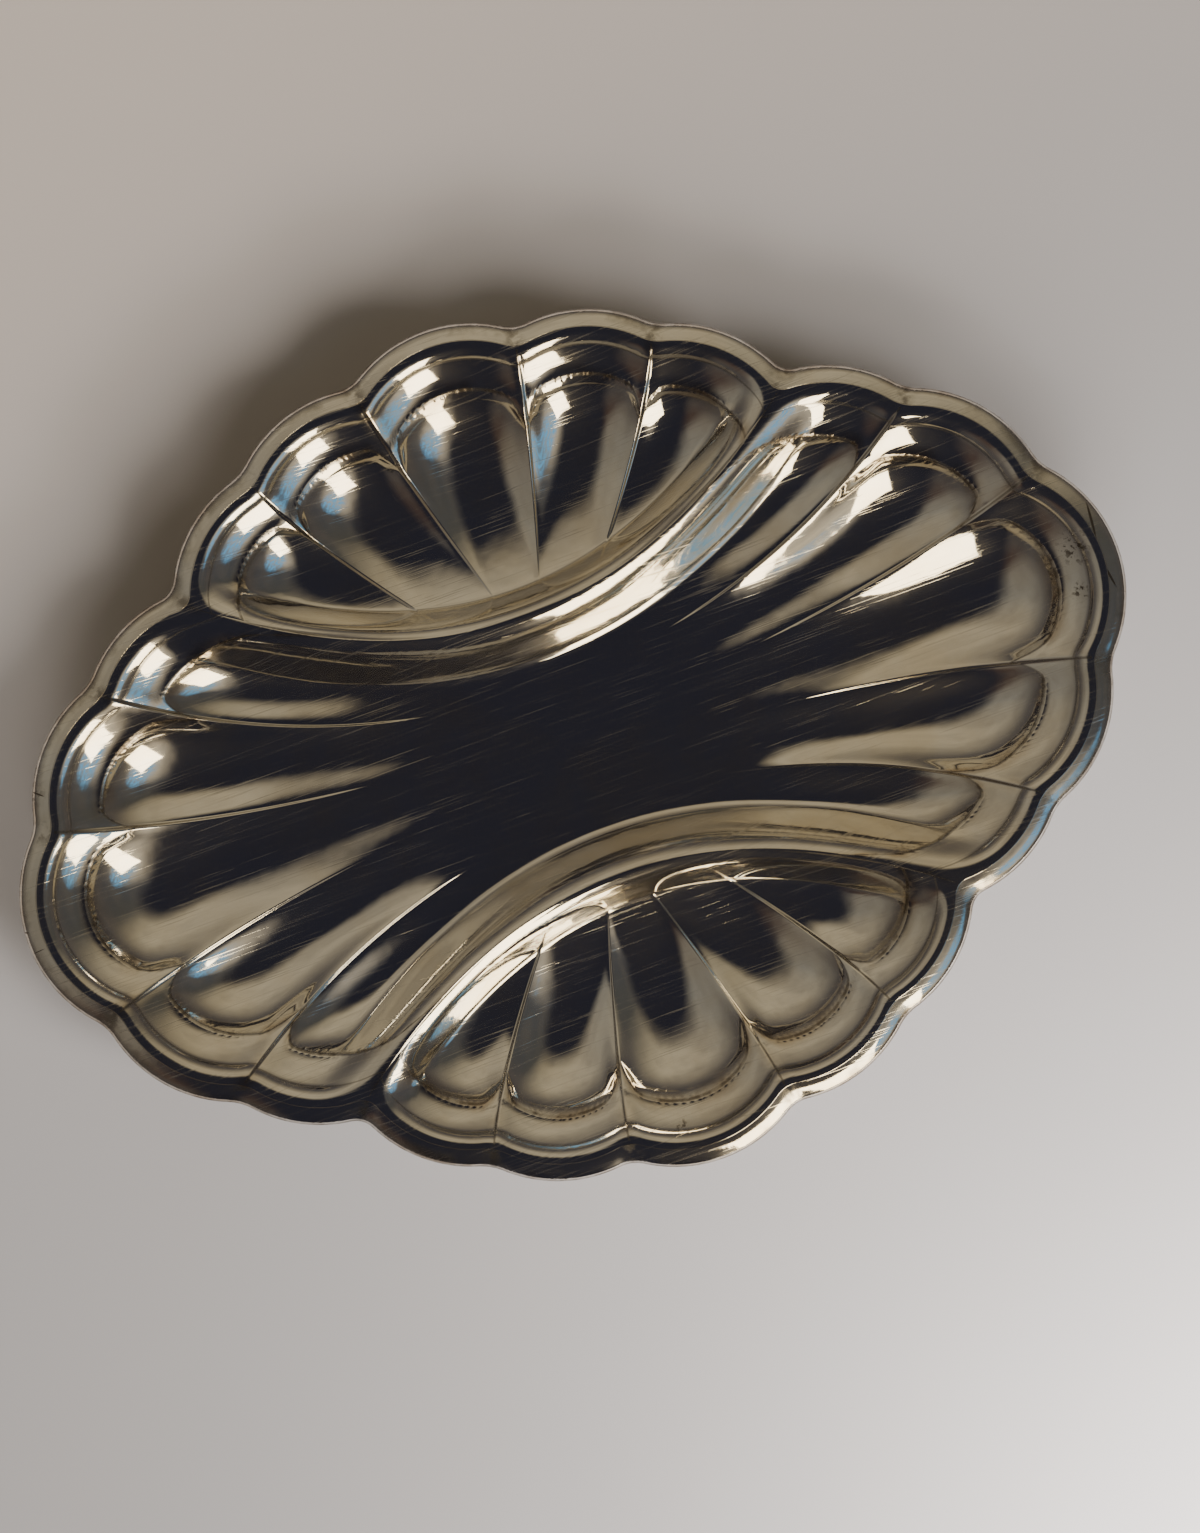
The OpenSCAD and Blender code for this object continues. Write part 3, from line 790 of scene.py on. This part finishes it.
def addFloor(s):
    half = s["half"]
    corners = [(-half, -half, 0), (half, -half, 0), (half, half, 0), (-half, half, 0)]
    mesh = plainMesh("floor", corners, [(0, 1, 2, 3)])
    floor = addObject("floor", mesh)
    floor.location.z = -s["drop"]
    finish, t = newFinish("paleTop")
    place = t.make("ShaderNodeTexCoord", None, None, 3)
    cloud = t.make("ShaderNodeTexNoise", None, {"Vector": place, "Scale": s["cloudScale"], "Detail": 3})
    # painted warm light: the top turns warmer and brighter towards the picture's top left
    toward = tuple(imageUp + s["paintedLightLean"] * imageRight)
    warm = t.make("ShaderNodeVectorMath", {"operation": "DOT_PRODUCT"}, {0: place, 1: toward}, 1)
    pale = t.mixColour(cloud, (*s["pale"][0], 1), (*s["pale"][1], 1))
    colour = t.mixColour(warm.between(*s["paintedLightRun"]), pale, (*s["warm"], 1))
    top = t.make("ShaderNodeBsdfPrincipled", None, {"Base Color": colour, "Roughness": s["rough"]})
    t.make("ShaderNodeOutputMaterial", None, {"Surface": top})
    mesh.materials.append(finish)


def aimed(s):  # the direction of a light from the middle of the platter
    a, z = math.radians(s["azimuth"]), math.radians(s["zenith"])
    return (imageRight * math.cos(a) + imageUp * math.sin(a)) * math.sin(z) + Vector((0, 0, math.cos(z)))


# Azimuths are in degrees from the picture's right, zeniths from straight up. The softbox is only mirrored
# in the metal, and the other lights fall only on what is dull.
lightSet = {
    "softbox": {"kind": "AREA", "azimuth": -55, "zenith": 62, "distance": 0.62, "size": (0.22, 0.50),
                "power": 2.2, "colour": (1.0, 0.83, 0.54), "atMiddle": True, "shine": True},
    "keyLight": {"kind": "SUN", "azimuth": -32, "zenith": 65, "distance": 1.3, "spread": 34, "power": 3.0,
                 "colour": (1.0, 0.95, 0.93), "atMiddle": True, "shine": False},
    "sideLight": {"kind": "SUN", "azimuth": -95, "zenith": 71, "distance": 1.3, "spread": 30, "power": 2.2,
                  "colour": (1.0, 0.95, 0.93), "atMiddle": True, "shine": False},
    "poolLight": {"kind": "AREA", "azimuth": -45.6, "zenith": 65.5, "distance": 0.4815, "size": (0.2, 0.2),
                  "power": 4.0, "colour": (1.0, 0.96, 0.96), "atMiddle": False, "shine": False},
}


def addLight(name, s):
    lamp = bpy.data.lights.new(name, s["kind"])
    lamp.energy = s["power"]
    lamp.color = s["colour"]
    if s["kind"] == "SUN":
        lamp.angle = math.radians(s["spread"])
    else:
        lamp.shape = "RECTANGLE"
        lamp.size, lamp.size_y = s["size"]
    light = bpy.data.objects.new(name, lamp)
    bpy.context.scene.collection.objects.link(light)
    out = aimed(s)
    light.location = out * s["distance"]
    if s["atMiddle"]:
        light.rotation_euler = out.to_track_quat("Z", "Y").to_euler()
    light.visible_glossy = s["shine"]
    light.visible_diffuse = not s["shine"]


roomSet = {
    "flag": (0.018, 0.0185, 0.028), "flagSize": (0.40, 0.46), "flagEdge": (0.6, 1.2),  # dark card overhead
    "flagTilt": 0.2, "flagDrop": 0.03, "flagLow": -0.1,
    "skirting": (0.066, 0.060, 0.060), "skirtingHigh": (0.05, 0.75),
    "shade": (0.115, 0.10, 0.085), "shadeScale": 2.5, "shadeEdge": (0.35, 0.75), "shadeShare": 0.45,
    "glows": [
        {"azimuth": -60, "zenith": 50, "edge": (0.80, 0.98), "colour": (0.62, 0.54, 0.41),
         "streaky": 0.2, "grain": 9},
        {"azimuth": -31, "zenith": 50, "edge": (0.95, 0.985), "colour": (0.15, 0.46, 0.80),
         "streaky": 0.75, "grain": 22}],
    "grainEdge": (0.38, 0.60),
    "wall": [(0.0, (0.23, 0.215, 0.18)), (0.10, (0.19, 0.17, 0.14)), (0.145, (0.058, 0.036, 0.030)),
             (0.30, (0.050, 0.034, 0.030)), (0.34, (0.32, 0.29, 0.24)), (0.40, (0.24, 0.23, 0.21)),
             (0.47, (0.06, 0.065, 0.075)), (0.58, (0.07, 0.068, 0.062)), (0.65, (0.31, 0.265, 0.18)),
             (0.72, (0.48, 0.41, 0.275)), (0.85, (0.40, 0.345, 0.245)), (1.0, (0.23, 0.215, 0.18))],
}


def addWorld(s):
    world = bpy.data.worlds.new("room")
    bpy.context.scene.world = world
    world.use_nodes = True
    world.node_tree.nodes.clear()
    t = NodeSheet(world.node_tree)
    way = t.make("ShaderNodeTexCoord", None, None, 0)

    def along(axis):
        return t.make("ShaderNodeVectorMath", {"operation": "DOT_PRODUCT"}, {0: way, 1: tuple(axis)}, 1)

    def cloud(scale):
        return t.make("ShaderNodeTexNoise", None, {"Vector": way, "Scale": scale, "Detail": 3})

    right, up, high = along(imageRight), along(imageUp), along((0, 0, 1))
    turn = up.math("ARCTAN2", up, right) / (2 * math.pi) + 0.5
    wall = t.make("ShaderNodeValToRGB", {"stops": s["wall"]}, {"Fac": turn})
    wall = t.mixColour(high.between(*s["skirtingHigh"]), (*s["skirting"], 1), wall)
    shade = cloud(s["shadeScale"]).between(*s["shadeEdge"]) * s["shadeShare"]
    wall = t.mixColour(shade, wall, (*s["shade"], 1))
    for glow in s["glows"]:
        near = along(aimed(glow)).between(*glow["edge"])
        streaks = glow["streaky"] * cloud(glow["grain"]).between(*s["grainEdge"])
        wall = t.mixColour(near * (1 - streaks), wall, (*glow["colour"], 1))
    wide, tall = s["flagSize"]
    lift = (up - s["flagTilt"] * right + s["flagDrop"]).atLeast(s["flagLow"])
    oval = ((right / wide) ** 2 + (lift / tall) ** 2).root()
    flag = (1 - oval.between(*s["flagEdge"])) * (high > 0)
    colour = t.mixColour(flag, wall, (*s["flag"], 1))
    back = t.make("ShaderNodeBackground", None, {"Color": colour, "Strength": 1.0})
    t.make("ShaderNodeOutputWorld", None, {"Surface": back})


addFloor(floorSet)
for name, values in lightSet.items():
    addLight(name, values)
addWorld(roomSet)
print("studio set")
